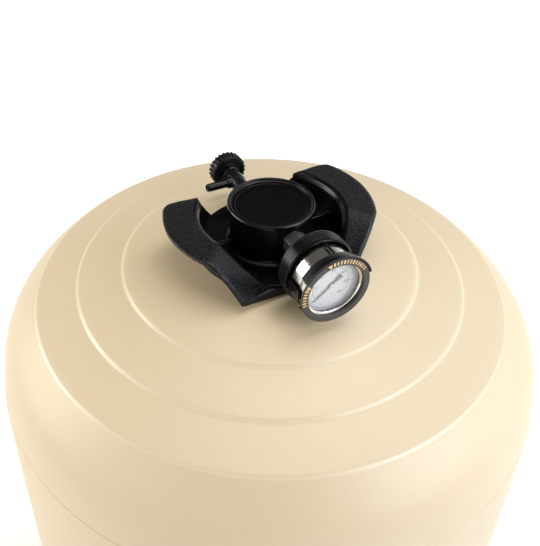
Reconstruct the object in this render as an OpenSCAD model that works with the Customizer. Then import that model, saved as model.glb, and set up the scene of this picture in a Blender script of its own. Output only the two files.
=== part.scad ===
// Sand filter tank, 24 inch side-port pattern: moulded tank on a foot ring,
// screw-in winged closure with pressure gauge and manual air relief valve,
// two side bulkheads, inner piping with laterals, and a low drain.
// Millimetres. +Z is up. The origin is the centre of the foot's resting face.
// The ports point to +Y, the drain to -Y. The gauge looks to gauge_az.

/* [Tank] */
// Outer radius of the tank's straight side
tank_r = 305; // [300:0.5:312]
// Height of the outer moulded ring of the dome above the floor
ring_z = 820; // [780:5:900]
// Wall thickness of the tank
wall = 6; // [5:0.5:7]
// Radius of the inner moulded ring
ring1_r = 160.6; // [156:0.2:164]
// Radius of the middle moulded ring
ring2_r = 210.8; // [206:0.2:214]
// Radius of the outer moulded ring
ring3_r = 257.5; // [254:0.5:260]

/* [Closure] */
// Direction that the gauge faces, as an angle from +X
gauge_az = -61.5; // [-180:0.5:180]
// Outer radius of the two wings
wing_r = 114.5; // [112:0.5:118]
// Lead of the closure thread for one turn
lead = 8; // [7:0.5:9]
// Height of the gauge axis above the outer ring
gauge_h = 93.5; // [92:0.5:95]
// Height of the relief valve axis above the outer ring
valve_h = 84; // [82:0.5:88]

/* [Ports] */
// Height of the lower port centre
port_lo = 230; // [226:1:240]
// Distance between the two port centres
port_gap = 230; // [220:1:260]
// Inner radius of the ports' pipe sockets
socket_r = 30.2; // [30:0.1:30.6]
// Height of the drain centre
drain_z = 168; // [164:1:172]

/* [Underdrain] */
// Number of laterals
laterals_n = 8; // [6:1:10]
// Height of the laterals
lateral_z = 176; // [172:1:177]

/* [Hidden] */
$fn = 96;

zr = ring_z;
seat_h = 54;              // neck seat above the outer ring
port_hi = port_lo + port_gap;
tan_beige = [0.87, 0.78, 0.65];
black = [0.10, 0.10, 0.105];
gloss_black = [0.06, 0.06, 0.065];
white_abs = [0.90, 0.90, 0.88];
rubber = [0.16, 0.16, 0.17];
steel = [0.78, 0.77, 0.74];
brass = [0.74, 0.60, 0.32];

function bez(a, b, c, d, t) = pow(1-t,3)*a + 3*t*pow(1-t,2)*b + 3*t*t*(1-t)*c + pow(t,3)*d;
function clamp(x, lo, hi) = min(max(x, lo), hi);
function lerp(a, b, t) = a + (b-a)*t;

// ---------- placing helpers ----------
module at_lid() translate([0,0,zr]) rotate([0,0,gauge_az]) children();
// child +Z points outward along the gauge axis, starting g from the tank axis
module gx(g = 0) translate([g,0,gauge_h]) rotate([0,90,0]) children();
// the same for the relief valve, on the opposite side
module vx(g = 0) translate([-g,0,valve_h]) rotate([0,-90,0]) children();
// turn inside gx so that +X points to dial angle th (0 right, 90 up)
module dial_dir(th) rotate([0,0,th+90]) children();
// child +Z points to +Y at height z
module px(y, z) translate([0,y,z]) rotate([-90,0,0]) children();
// child +Z points to -Y at height z
module dx(y, z) translate([0,-y,z]) rotate([90,0,0]) children();

// ---------- tank ----------
// shoulder curve from the third step down to the straight wall
function knuckle(t) = [bez(ring3_r+2, ring3_r+43.2, tank_r-0.4, tank_r, t), bez(-1.5, -40.7, -46.1, -162, t)];
dome_out = concat(
  [[80, seat_h]],
  [for (i=[1:6]) let(t=i/6) [lerp(80, ring1_r-2, t), lerp(seat_h, 35.1, 0.82*t+0.18*t*t)]],
  [[ring1_r-1.2, 34.6], [ring1_r+1.2, 32.6]],
  [for (i=[0:5]) let(t=i/5) [lerp(ring1_r+2, ring2_r-2, t), lerp(32.1, 19.1, 0.92*t+0.08*t*t)]],
  [[ring2_r-1.2, 18.6], [ring2_r+1.2, 16.6]],
  [for (i=[0:5]) let(t=i/5) [lerp(ring2_r+2, ring3_r-2, t), lerp(16.1, 1.5, 0.92*t+0.08*t*t)]],
  [[ring3_r-1.2, 1], [ring3_r+1.2, -1]],
  [for (t=[0:0.0575:0.7]) knuckle(t)],
  // weld line, a low bead
  [[tank_r-2, -88.2], [tank_r-1.2, -89.2], [tank_r-1.1, -91.4], [tank_r-1.7, -92.3]],
  [for (t=[0.78, 0.853, 0.926, 1]) knuckle(t)]);
dome_in = concat(
  [[82, seat_h-wall-1.5]],
  [for (i=[1:4]) let(t=i/4) [lerp(82, ring1_r, t), lerp(seat_h-wall-1.5, 27, t)]],
  [for (i=[1:3]) let(t=i/3) [lerp(ring1_r, ring2_r, t), lerp(27, 10.5, t)]],
  [for (i=[1:2]) let(t=i/3) [lerp(ring2_r, ring3_r, t), lerp(10.5, -8, t)]],
  [for (i=[0:11]) let(t=i/11, p=knuckle(t), q=knuckle(min(t+0.01,1)), o=knuckle(max(t-0.01,0)),
     d=q-o, n=norm(d)) [min(p[0]+d[1]/n*wall, tank_r-wall), p[1]-d[0]/n*wall]]);
bowl_out = [for (i=[0:16]) let(a=i*90/16) [tank_r*cos(a), 190-115*sin(a)]];
bowl_in = [for (i=[0:16]) let(a=90-i*90/16) [(tank_r-wall)*cos(a), 190-(115-wall)*sin(a)]];
shell_profile = concat(
  [[74, zr+seat_h]],
  [for (p=dome_out) [p[0], zr+p[1]]],
  [for (p=bowl_out) if (p[0] > 268.5) p],
  [[268, 134], [268, 118], [244, 118]],
  [for (p=bowl_out) if (p[0] < 243.5 && p[0] > 1) p], [[0, 75]],
  [[0, 75+wall]], [for (p=bowl_in) if (p[0] > 1 && p[0] < tank_r-wall-0.01) p], [[tank_r-wall, 190]],
  [for (i=[len(dome_in)-1:-1:0]) [dome_in[i][0], zr+dome_in[i][1]]],
  [[82, zr+26], [74, zr+26]]);

module tank_shell() color(tan_beige) difference() {
  union() {
    rotate_extrude($fn=144) polygon(shell_profile);
    for (z=[port_lo, port_hi]) px(tank_r-wall-8, z) cylinder(r=54, h=wall+15);
    dx(tank_r-wall-12, drain_z) cylinder(r=34, h=wall+15);
  }
  for (z=[port_lo, port_hi]) {
    px(tank_r-wall-30, z) cylinder(r=38.4, h=60);
    px(tank_r-wall-60, z) cylinder(r=60, h=52.5);
    px(tank_r+6.5, z) cylinder(r=60, h=20);
  }
  dx(tank_r-60, drain_z) cylinder(r=18.9, h=90);
  dx(tank_r-60, drain_z) cylinder(r=40, h=60-wall-10.5);
}

module base_foot() color(black) {
  difference() {
    union() {
      rotate_extrude($fn=144) polygon([[243,116],[244.2,118],[268,118],[270,30],[276,16],[287,12],[287,0],[238,0],[238,10],[243,16]]);
      for (i=[0:15]) rotate([0,0,i*22.5]) translate([266,-3,0]) cube([15,6,52]);
    }
    for (i=[0:15]) rotate([0,0,i*22.5]) translate([271,-8,52]) rotate([0,45,0]) cube([40,16,40]);
  }
}

// helical ridge: profile half widths wa at radius ra and wb at radius rb
module ridge(ra, wa, rb, wb, z0, turns, seg = 48) {
  n = round(turns*seg);
  pts = [for (i=[0:n]) let(a=i*360/seg, z=z0+lead*i/seg)
    each [[ra*cos(a), ra*sin(a), z-wa], [rb*cos(a), rb*sin(a), z-wb],
          [rb*cos(a), rb*sin(a), z+wb], [ra*cos(a), ra*sin(a), z+wa]]];
  faces = concat(
    [for (i=[0:n-1]) for (k=[0:3]) let(a=4*i+k, b=4*i+(k+1)%4) each [[a, b, b+4], [a, b+4, a+4]]],
    [[0,3,2],[0,2,1]], [[4*n,4*n+1,4*n+2],[4*n,4*n+2,4*n+3]]);
  polyhedron(points = pts, faces = rb > ra ? faces : [for (f=faces) [f[0],f[2],f[1]]], convexity = 6);
}

module neck_insert() color(black) translate([0,0,zr]) union() {
  rotate_extrude() polygon([[66.5, 22],[80, 22],[80,26],[74,26],[74,seat_h],[66.5,seat_h]]);
  ridge(66.8, 1.7, 63.5, 0.9, 30, 2.25);
}

// ---------- side ports ----------
module bulkhead(z) color(black) difference() {
  union() {
    px(tank_r-wall-18.5, z) cylinder(r=50, h=8);
    px(tank_r-wall-18.5, z) cylinder(r=38, h=86);
    for (i=[0:5]) px(tank_r+30+i*5, z) cylinder(r=38.8, h=2.2);
  }
  px(tank_r-wall-19, z) cylinder(r=26, h=90);
  px(tank_r-wall-19, z) cylinder(r=28.6, h=22.5);
  px(tank_r+23.5, z) cylinder(r=socket_r, h=50);
}
module bulkhead_gasket(z) color(rubber) px(tank_r-wall-10.5, z) difference() {
  cylinder(r=49, h=3); translate([0,0,-1]) cylinder(r=38.4, h=5);
}
module bulkhead_washer(z) color(rubber) px(tank_r+6.5, z) difference() {
  cylinder(r=51, h=3); translate([0,0,-1]) cylinder(r=38.4, h=5);
}
module bulkhead_nut(z) color(black) px(tank_r+9.5, z) difference() {
  union() {
    cylinder(r=51, h=4);
    rotate([0,0,22.5]) cylinder(r=52, h=13.6, $fn=8);
  }
  translate([0,0,-1]) cylinder(r=38.3, h=21);
}
module upper_bulkhead() bulkhead(port_hi);
module upper_bulkhead_gasket() bulkhead_gasket(port_hi);
module upper_bulkhead_washer() bulkhead_washer(port_hi);
module upper_bulkhead_nut() bulkhead_nut(port_hi);
module lower_bulkhead() bulkhead(port_lo);
module lower_bulkhead_gasket() bulkhead_gasket(port_lo);
module lower_bulkhead_washer() bulkhead_washer(port_lo);
module lower_bulkhead_nut() bulkhead_nut(port_lo);

// ---------- inner piping ----------
pipe_r = 24;
stand_y = tank_r - 95;
module inlet_elbow() color(white_abs) difference() {
  union() {
    px(stand_y, port_hi) cylinder(r=28.5, h=tank_r-wall-stand_y+2);
    translate([0,stand_y,port_hi]) sphere(r=28.5);
    translate([0,stand_y,port_hi]) cylinder(r=28.5, h=46);
  }
  px(stand_y, port_hi) cylinder(r=24.2, h=120);
  translate([0,stand_y,port_hi]) sphere(r=24.2);
  translate([0,stand_y,port_hi]) cylinder(r=24.2, h=60);
}
module inlet_standpipe() color(white_abs) translate([0,stand_y,port_hi+20]) difference() {
  cylinder(r=24.1, h=zr-130-port_hi);
  translate([0,0,-1]) cylinder(r=20.6, h=zr);
}
module inlet_diffuser() color(white_abs) translate([0,stand_y,zr-128]) difference() {
  rotate_extrude() polygon([[24.2,0],[30,0],[30,14],[52,30],[54,34],[54,58],[0,66],[0,62],[50,55],[50,35],[28,19],[24.2,19]]);
  for (i=[0:23]) rotate([0,0,i*15]) translate([46,-2.4,36]) cube([14,4.8,17]);
}
module outlet_pipe() color(white_abs) px(44, port_lo) difference() {
  cylinder(r=28.5, h=tank_r-wall-44+2);
  translate([0,0,-1]) cylinder(r=24.6, h=400);
}
module lateral_hub() color(white_abs) difference() {
  union() {
    translate([0,0,lateral_z-20]) cylinder(r=52, h=port_lo-lateral_z+66);
    px(0, port_lo) cylinder(r=38, h=66);
    translate([0,0,port_lo+40]) cylinder(r=12, h=30);
  }
  translate([0,0,lateral_z-14]) cylinder(r=44, h=port_lo-lateral_z+54);
  px(10, port_lo) cylinder(r=28.6, h=90);
  translate([0,0,port_lo]) cylinder(r=5.1, h=90);
  for (i=[0:laterals_n-1]) rotate([0,0,(i+0.5)*360/laterals_n]) translate([20,0,lateral_z]) rotate([0,90,0]) cylinder(r=9.05, h=60);
}
module laterals() color(white_abs)
  for (i=[0:laterals_n-1]) rotate([0,0,(i+0.5)*360/laterals_n]) translate([45,0,lateral_z]) rotate([0,90,0]) difference() {
    union() {
      cylinder(r=9, h=10);
      translate([0,0,7.3]) cylinder(r=12, h=190);
      translate([0,0,197.3]) cylinder(r=13, h=8);
    }
    translate([0,0,-1]) cylinder(r=6.4, h=10);
    translate([0,0,8.9]) cylinder(r=9.6, h=190);
    for (k=[0:8]) for (s=[0,1]) rotate([0,0,90+180*s]) translate([8.2,-7,22+k*19]) cube([6,14,1.4]);
  }
module air_bleed_tube() color([0.85,0.87,0.88]) translate([0,0,port_lo+44]) difference() {
  cylinder(r=5, h=zr-50-port_lo-44);
  translate([0,0,-1]) cylinder(r=3.2, h=zr);
}
module air_bleed_strainer() color(white_abs) translate([0,0,zr-62]) difference() {
  rotate_extrude() polygon([[5.05,0],[9,0],[9,36],[7,40],[0,42],[0,39],[6,36],[6,13],[5.05,13]]);
  for (i=[0:7]) rotate([0,0,i*45]) for (k=[0:3]) translate([4,-1.8,15.5+k*5]) cube([8,3.6,1.4]);
}

// ---------- drain ----------
module drain_spigot() color(black) difference() {
  union() {
    dx(tank_r-wall-20, drain_z) cylinder(r=18.6, h=80);
    dx(tank_r+6.5, drain_z) cylinder(r=28, h=7);
    for (i=[0:3]) dx(tank_r+30+i*4, drain_z) cylinder(r=19.1, h=1.8);
  }
  dx(tank_r-wall-22, drain_z) cylinder(r=13, h=90);
}
module drain_gasket() color(rubber) dx(tank_r+3, drain_z) difference() {
  cylinder(r=27, h=3.5); translate([0,0,-1]) cylinder(r=18.8, h=6);
}
module drain_lock_nut() color(black) dx(tank_r-wall-20.5, drain_z) difference() {
  rotate([0,0,30]) cylinder(r=28, h=10, $fn=6);
  translate([0,0,-1]) cylinder(r=18.8, h=13);
}
module drain_screen() color(white_abs) dx(tank_r-wall-48, drain_z) difference() {
  union() { cylinder(r=12, h=34); translate([0,0,27.9]) cylinder(r=12.9, h=18); }
  translate([0,0,3]) cylinder(r=9.5, h=60);
  for (i=[0:7]) rotate([0,0,i*45]) for (k=[0:3]) translate([8,-3,5+k*5]) cube([6,6,1.6]);
}
module drain_cap_oring() color(rubber) dx(tank_r+15.4, drain_z) rotate_extrude() translate([21.6,0]) circle(r=1.8, $fn=32);
module drain_cap() color(black) dx(tank_r+14.3, drain_z) difference() {
  union() {
    cylinder(r=27, h=50);
    for (i=[0:11]) rotate([0,0,i*30+15]) translate([26.4,0,8]) cylinder(r=1.8, h=39.5);
    translate([-26,-4,49]) cube([52,8,14]);
  }
  translate([0,0,-1]) cylinder(r=23.6, h=4.9);
  translate([0,0,-1]) cylinder(r=19.6, h=46);
}

// ---------- closure ----------
closure_profile = [[56.8,16],[62.8,16],[62.8,54.3],[67.2,54.3],[67.2,58.7],[72.8,58.7],[72.8,54.3],
  [77,54.3],[77.8,55.2],[77.8,60],[76.6,61.2],[48,61.2],[45,62.4],[43.5,65],[43.5,103.4],
  [45.6,104.2],[46.3,105.4],[46.3,108.8],[45.4,109.8],[44,110],[42.8,109.2],[42.4,107.6],[40.8,107.2],
  [40.8,103.5],[35,103.5],[35,98.6],[38,96],[38,54.3],[56.8,54.3]];

// top of the wing: height over the outer ring at nominal plan radius r and distance g towards the gauge
front_g = 80.6;
rear_g = -54.5;
wing_top = 100;
wing_low = 60.8;
function wing_z(r, g) = let(k=clamp((r-76)/37,0,1), g0=24+28*k, g1=73+7.6*k,
  t=clamp((g-g0)/(g1-g0),0,1)) wing_top-(wing_top-wing_low)*pow(t, 1.6+0.4*k);
// plan radius of the outer edge at angle a; q is how much the edge draws in at the front
function wing_edge(a, q) = wing_r-2.9*clamp((92-a)/28,0,1)-q*clamp((64-a)/22,0,1);
// nominal radius r, brought inside an outer edge at radius e
function wing_s(r, e) = 81.5+(r-81.5)*(e-84.9)/(wing_r-84.9);
// front and rear angles of the wing at nominal plan radius r
function a_front(r, q) = acos(clamp(front_g/wing_s(r, wing_r-2.9-q),-1,1));
function a_rear(r) = let(c=max(0, r-wing_r+9)) acos(clamp((rear_g+9-sqrt(max(0,81-c*c)))/r,-1,1));
wr = [81.5, 84, 88, 96, 104, wing_r-3.4];
wj = 24;
// q as above; lo and hi are the wall's rear angles at its foot and at its top
module wing(q, lo, hi) {
  nj = wj;
  na = len(wr);
  function band(r, u) = let(a=lerp(a_front(r, q), a_rear(r), u), s=wing_s(r, wing_edge(a, q)), z=wing_z(r, s*cos(a))) [s*cos(a), s*sin(a), z];
  function rim(u) = let(a=lerp(acos(front_g/(wing_r-3.5-q)), a_rear(wing_r-0.5), u), s=wing_edge(a, q)-0.6) [s*cos(a), s*sin(a), wing_z(113, s*cos(a))];
  // wall path has 4 stations, band path has na stations, edge has one more
  rows = [for (j=[0:nj]) let(u=j/nj)
    concat(
      // inner face of the wall, then the top of the band
      [for (i=[0:3]) let(f=[0,0.55,1,1][i], rr=[75,75,75.4,77.6][i],
          a=lerp(acos(front_g/82), lerp(lo, hi, f), u), zt=wing_z(81.5,81.5*cos(a)), z2=max(57.6, zt-6.5))
          [rr*cos(a), rr*sin(a), [56, lerp(56, z2, 0.55), z2, max(58.1, zt-2)][i]]],
      [for (r=wr) band(r, u)],
      [rim(u)-[0,0,1.6]],
      // outer edge, then back along the underside and down the outside of the wall
      [rim(u)-[0,0,4.4]],
      [for (i=[na-1:-1:0]) let(p=band(wr[i], u)) [p[0], p[1], max(55.6, p[2]-6)]],
      [for (i=[3:-1:0]) let(f=[0,0.55,1,1][i], rr=[80.6,80.6,80.7,80.9][i],
          a=lerp(acos(front_g/82), lerp(lo, hi, f), u), zt=wing_z(81.5,81.5*cos(a)), z2=max(55.1, zt-10))
          [rr*cos(a), rr*sin(a), [54.9, lerp(54.9, z2, 0.55), z2, max(55.3, zt-7.2)][i]]])];
  m = len(rows[0]);
  h = m/2;
  polyhedron(points = [for (r=rows) each r],
    faces = concat(
      [for (j=[0:nj-1]) for (k=[0:m-1]) let(a=j*m+k, b=j*m+(k+1)%m) each [[a, b+m, b], [a, a+m, b+m]]],
      [for (k=[0:h-2]) each [[k, k+1, m-2-k], [k, m-2-k, m-1-k]]],
      [for (k=[0:h-2]) let(q=nj*m) each [[q+k, q+m-2-k, q+k+1], [q+k, q+m-1-k, q+m-2-k]]]),
    convexity = 8);
}

module closure() color(black) at_lid() difference() {
  union() {
    rotate_extrude() polygon(closure_profile);
    gx(40) cylinder(r=10.6, h=44);
    gx(49.5) cylinder(r=12.8, h=14.5, $fn=6);
    gx(78) cylinder(r=14, h=6);
    vx(40) cylinder(r=13, h=15);
    // webs under both branches
    translate([41,-4,60]) cube([36,8,gauge_h-68]);
    translate([-53,-4,60]) cube([14,8,valve_h-66]);
    // stiffening ribs across the bowl
    for (s=[-1,1]) rotate([0,0,s*90]) translate([42,-2.5,60]) cube([34,5,14]);
    for (s=[-1,1]) rotate([0,0,s*38]) translate([66,-2,60]) cube([11,4,8]);
    wing(10, 160, 134);
    mirror([0,1,0]) wing(3.2, 150.5, 127.5);
    ridge(62.5, 1.7, 66, 0.9, 26, 2.25);
  }
  gx(34) cylinder(r=4, h=60);
  gx(64) cylinder(r=6.6, h=30);
  vx(34) cylinder(r=8.3, h=30);
}
module closure_oring() color(rubber) translate([0,0,zr+seat_h+2.35]) rotate_extrude() translate([70,0]) circle(r=2.2, $fn=40);
module hub_cap() color(gloss_black) at_lid() translate([0,0,103.5]) rotate_extrude() polygon([[0,0],[40.7,0],[40.7,2.6],[40,3.2],[38.6,3.2],[37.8,2.6],[0,2.4]]);

// ---------- pressure gauge ----------
dial_zero = 220;
dial_sweep = 270;
module gauge_collar() color(black) at_lid() gx() rotate_extrude() polygon([[9.2,84.02],[33,84.02],[35.4,85],[36.8,87.5],[37,89],[37,92],[36.2,92.6],[36.2,94],[37,94.6],[37,100.6],[36,102],[34.6,102],[34.6,88.6],[9.2,88.6]]);
module gauge_socket() color(brass) at_lid() gx() difference() {
  union() {
    translate([0,0,65]) cylinder(r=6.55, h=20);
    translate([-6.3,-6.3,84.1]) cube([12.6,12.6,20]);
  }
  translate([0,0,64]) cylinder(r=2, h=36);
}
module gauge_case() color(steel) at_lid() gx() rotate_extrude() polygon([[9.2,90],[30.4,90],[31.75,91.3],[31.75,126.8],[30.95,126.8],[30.95,91.7],[30.1,90.8],[9.2,90.8]]);
module bourdon_tube() color(brass) at_lid() gx(108.5) dial_dir(0) {
  rotate([0,0,20]) rotate_extrude(angle=250) translate([24,0]) circle(r=2.1, $fn=32);
  rotate([0,0,20]) translate([24,0,0]) rotate([90,0,0]) cylinder(r=2.6, h=4);
  rotate([0,0,270]) translate([24,0,-10]) cylinder(r=2.5, h=10);
  rotate([0,0,270]) translate([6.35,-2.5,-10]) cube([18,5,4.4]);
}
module gauge_movement() color(brass) at_lid() gx() difference() {
  union() {
    for (g=[104.12, 113.4]) translate([0,0,g]) {
      cylinder(r=7, h=1.2);
      dial_dir(250) translate([0,-5,0]) cube([20,10,1.2]);
    }
    for (a=[350,150]) dial_dir(a) translate([5.4,0,104.6]) cylinder(r=1.1, h=9.6);
  }
  translate([0,0,100]) cylinder(r=0.92, h=20);
  dial_dir(250) translate([17.4,0,100]) cylinder(r=0.97, h=20);
}
module sector_gear() color(brass) at_lid() gx() {
  dial_dir(250) translate([17.4,0,103.8]) cylinder(r=0.9, h=11.2);
  dial_dir(250) translate([17.4,0,108.2]) rotate([0,0,163]) {
    cylinder(r=2.4, h=2);
    intersection() {
      difference() { cylinder(r=15.2, h=1.2); translate([0,0,-1]) cylinder(r=12.6, h=4); }
      linear_extrude(3, center=true) polygon([[0,0],[18,-7.4],[18,7.4]]);
    }
    translate([1,-1.3,0]) cube([12.4,2.6,1.2]);
  }
}
module gauge_dial() color("white") at_lid() gx(122.4) difference() {
  cylinder(r=30.5, h=0.8);
  translate([0,0,-1]) cylinder(r=1.4, h=3);
}
module gauge_needle() color([0.12,0.12,0.13]) at_lid() gx() union() {
  translate([0,0,104.6]) cylinder(r=0.85, h=19.6);
  translate([0,0,108.2]) cylinder(r=1.9, h=1.6);
  translate([0,0,123.8]) cylinder(r=2.7, h=1.8);
  dial_dir(dial_zero) translate([0,0,124.2]) linear_extrude(0.7) polygon([[0,-1.5],[17,-0.9],[23.5,0],[17,0.9],[0,1.5],[-6,1.4],[-13,3.1],[-13,-3.1],[-6,-1.4]]);
}
module lens_gasket() color(rubber) at_lid() gx(125.4) difference() { cylinder(r=30.8, h=1.5); translate([0,0,-1]) cylinder(r=28.9, h=4); }
module gauge_lens() color([0.85,0.93,0.95,0.35]) at_lid() gx(127) cylinder(r=30.8, h=2);
module gauge_bezel() color(steel) at_lid() gx() rotate_extrude() polygon([[31.85,120.6],[33.1,120.6],[33.1,129.6],[32.2,130.5],[29.2,130.5],[27.9,129.3],[27.9,129.1],[31.85,129.1]]);
// fingers: [start angle on the dial, width]
marker_f = [[84.5,3.5],[172,26],[230,14],[270,14],[310,14]];
module marker_ring() color(gloss_black) at_lid() gx() union() {
  rotate_extrude() polygon([[29.7,131.1],[36,131.1],[36.7,131.8],[36.7,133.2],[36,134],[30.2,134],[29.7,133.4]]);
  // upper skirt, flaring forwards, and the plain lower skirt
  dial_dir(17) rotate_extrude(angle=132) polygon([[33.6,124],[37.3,124],[39.4,133.6],[35.8,133.6],[35.8,132],[33.6,132]]);
  dial_dir(205) rotate_extrude(angle=140) polygon([[33.6,124],[36.5,124],[36.5,132.4],[33.6,132.4]]);
  for (f=marker_f) dial_dir(f[0]) rotate_extrude(angle=f[1]) polygon([[32.4,104.4],[35.2,104.4],[35.8,124.6],[34.3,124.6],[33.7,106.6],[33.2,106.2]]);
}

// ---------- air relief valve ----------
module relief_valve_body() color(gloss_black) at_lid() difference() {
  union() {
    vx() rotate_extrude() polygon([[0,41],[8.2,41],[8.2,57.2],[11.6,57.2],[11.6,62],[9,64],[9,101],[8.2,102.4],[0,102.4]]);
    vx(85) rotate([90,0,0]) cylinder(r=4.75, h=33);
    vx(85) rotate([90,0,0]) translate([0,0,33]) sphere(r=4.75);
    vx(85) rotate([90,0,0]) cylinder(r=6.6, h=12);
  }
  vx(40) cylinder(r=3, h=24);
  vx(60) cylinder(r=6, h=50);
  vx(85) rotate([90,0,0]) translate([0,0,3]) cylinder(r=2.8, h=50);
}
module relief_body_oring() color(rubber) at_lid() vx(56.12) rotate_extrude() translate([9.9,0]) circle(r=1.0, $fn=32);
module relief_stem_oring() color(rubber) at_lid() vx(92.9) rotate_extrude() translate([4.9,0]) circle(r=1.0, $fn=32);
module relief_stem() color(steel) at_lid() vx() rotate_extrude() polygon([[0,59.2],[2,59.2],[4.6,62.2],[4.6,66],[3.2,67],[3.2,90],[5.7,90],[5.7,91.6],[3.75,91.6],[3.75,94.2],[5.7,94.2],[5.7,103],[4,104],[4,111],[0,111]]);
module relief_knob() color(gloss_black) at_lid() vx() difference() {
  union() {
    translate([0,0,104.4]) rotate_extrude() polygon([[0,3.2],[6.5,3.2],[6.5,0],[10,0],[10,2.2],[15.6,2.2],[16.4,0],[18.8,0],[19.4,0.8],[19.4,12],[18.2,13.2],[0,13.2]]);
    for (i=[0:23]) rotate([0,0,i*15+7.5]) translate([18.6,-1.3,105.2]) cube([2.2,2.6,11.4]);
  }
  translate([0,0,103]) cylinder(r=4.05, h=8.2);
}

tank_shell();
base_foot();
neck_insert();
upper_bulkhead();
upper_bulkhead_gasket();
upper_bulkhead_washer();
upper_bulkhead_nut();
lower_bulkhead();
lower_bulkhead_gasket();
lower_bulkhead_washer();
lower_bulkhead_nut();
inlet_elbow();
inlet_standpipe();
inlet_diffuser();
outlet_pipe();
lateral_hub();
laterals();
air_bleed_tube();
air_bleed_strainer();
drain_spigot();
drain_gasket();
drain_lock_nut();
drain_screen();
drain_cap_oring();
drain_cap();
closure_oring();
closure();
hub_cap();
gauge_collar();
gauge_socket();
gauge_case();
bourdon_tube();
gauge_movement();
sector_gear();
gauge_dial();
gauge_needle();
lens_gasket();
gauge_lens();
gauge_bezel();
marker_ring();
relief_valve_body();
relief_body_oring();
relief_stem_oring();
relief_stem();
relief_knob();
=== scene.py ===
"""Sand filter tank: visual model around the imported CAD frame. Lengths below are in millimetres and are scaled on mesh creation."""
import math
import bpy, bmesh
from mathutils import Matrix, Vector


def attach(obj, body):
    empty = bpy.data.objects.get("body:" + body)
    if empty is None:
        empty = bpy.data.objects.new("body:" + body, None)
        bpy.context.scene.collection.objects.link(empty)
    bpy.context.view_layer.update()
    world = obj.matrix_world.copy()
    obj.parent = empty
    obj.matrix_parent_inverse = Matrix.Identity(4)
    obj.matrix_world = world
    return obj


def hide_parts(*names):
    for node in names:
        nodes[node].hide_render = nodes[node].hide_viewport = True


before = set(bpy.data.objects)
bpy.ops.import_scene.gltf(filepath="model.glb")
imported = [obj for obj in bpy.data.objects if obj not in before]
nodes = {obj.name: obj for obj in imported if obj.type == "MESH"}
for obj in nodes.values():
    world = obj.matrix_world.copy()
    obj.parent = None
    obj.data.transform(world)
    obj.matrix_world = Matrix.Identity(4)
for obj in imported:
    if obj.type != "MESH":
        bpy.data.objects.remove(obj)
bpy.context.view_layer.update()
MM = 0.001

# ---------------------------------------------------------------- dimensions, as in the CAD source
TANK_R, ZR, WALL = 305.0, 820.0, 6.0
RING1, RING2, RING3 = 160.6, 210.8, 257.5
AZ, GH, VH, SEAT = -61.5, 93.5, 84.0, 54.0
PORTS, DRAIN_Z = (230.0, 460.0), 168.0
LEAD = 8.0


def T(x, y, z):
    return Matrix.Translation((x, y, z))


def R(deg, axis):
    return Matrix.Rotation(math.radians(deg), 4, axis)


LID = T(0, 0, ZR) @ R(AZ, "Z")
GX = LID @ T(0, 0, GH) @ R(90, "Y")
VX = LID @ T(0, 0, VH) @ R(-90, "Y")
WORLD = Matrix.Identity(4)


def dial(th):
    return R(th + 90, "Z")


def lerp(a, b, t):
    return a + (b - a) * t


def clamp(x, lo, hi):
    return min(max(x, lo), hi)


# ---------------------------------------------------------------- mesh helpers
class Part:
    """Gathers closed shells into one mesh, with a material index for each face."""

    def __init__(self):
        self.v, self.f, self.m = [], [], []

    def add(self, verts, faces, M=WORLD, mat=0, mats=None):
        base = len(self.v)
        self.v += [M @ Vector(p) for p in verts]
        self.f += [tuple(i + base for i in f) for f in faces]
        self.m += list(mats) if mats is not None else [mat] * len(faces)
        return self

    def lathe(self, prof, M=WORLD, seg=96, a0=0.0, a1=360.0, mat=0):
        v, f = lathe(prof, seg, a0, a1)
        return self.add(v, f, M, mat)

    def block(self, x0, x1, y0, y1, z0, z1, M=WORLD, r=0.4, mat=0, steps=3):
        bm = bmesh.new()
        bmesh.ops.create_cube(bm, size=1.0)
        for p in bm.verts:
            p.co = Vector((lerp(x0, x1, p.co.x + 0.5), lerp(y0, y1, p.co.y + 0.5), lerp(z0, z1, p.co.z + 0.5)))
        if r:
            bmesh.ops.bevel(bm, geom=bm.edges[:], offset=r, segments=steps, profile=0.5, affect="EDGES")
        return self.take(bm, M, mat)

    def prism(self, poly, z0, z1, M=WORLD, r=0.3, mat=0, steps=3):
        bm = bmesh.new()
        lo = [bm.verts.new((x, y, z0)) for x, y in poly]
        hi = [bm.verts.new((x, y, z1)) for x, y in poly]
        n = len(poly)
        bm.faces.new(lo[::-1])
        bm.faces.new(hi)
        for i in range(n):
            bm.faces.new((lo[i], lo[(i + 1) % n], hi[(i + 1) % n], hi[i]))
        bmesh.ops.recalc_face_normals(bm, faces=bm.faces[:])
        if r:
            sharp = [e for e in bm.edges if e.calc_face_angle(0) > 0.5]
            bmesh.ops.bevel(bm, geom=sharp, offset=r, segments=steps, profile=0.5, affect="EDGES")
        return self.take(bm, M, mat)

    def take(self, bm, M=WORLD, mat=0):
        bm.verts.index_update()
        v = [p.co.copy() for p in bm.verts]
        f = [tuple(q.index for q in face.verts) for face in bm.faces]
        bm.free()
        return self.add(v, f, M, mat)

    def object(self, name, body, mats, slot=None, stands_for=(), sharp=32.0, fix=True):
        me = bpy.data.meshes.new(name)
        me.from_pydata([tuple(p * MM) for p in self.v], [], self.f)
        for m in mats:
            me.materials.append(m)
        me.polygons.foreach_set("material_index", self.m)
        me.polygons.foreach_set("use_smooth", [True] * len(me.polygons))
        if fix:
            bm = bmesh.new()
            bm.from_mesh(me)
            bmesh.ops.recalc_face_normals(bm, faces=bm.faces[:])
            bm.to_mesh(me)
            bm.free()
        me.validate()
        me.update()
        if sharp:
            me.set_sharp_from_angle(angle=math.radians(sharp))
        ob = bpy.data.objects.new(name, me)
        bpy.context.scene.collection.objects.link(ob)
        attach(ob, body)
        if stands_for:
            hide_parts(*stands_for)
        return ob


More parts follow.
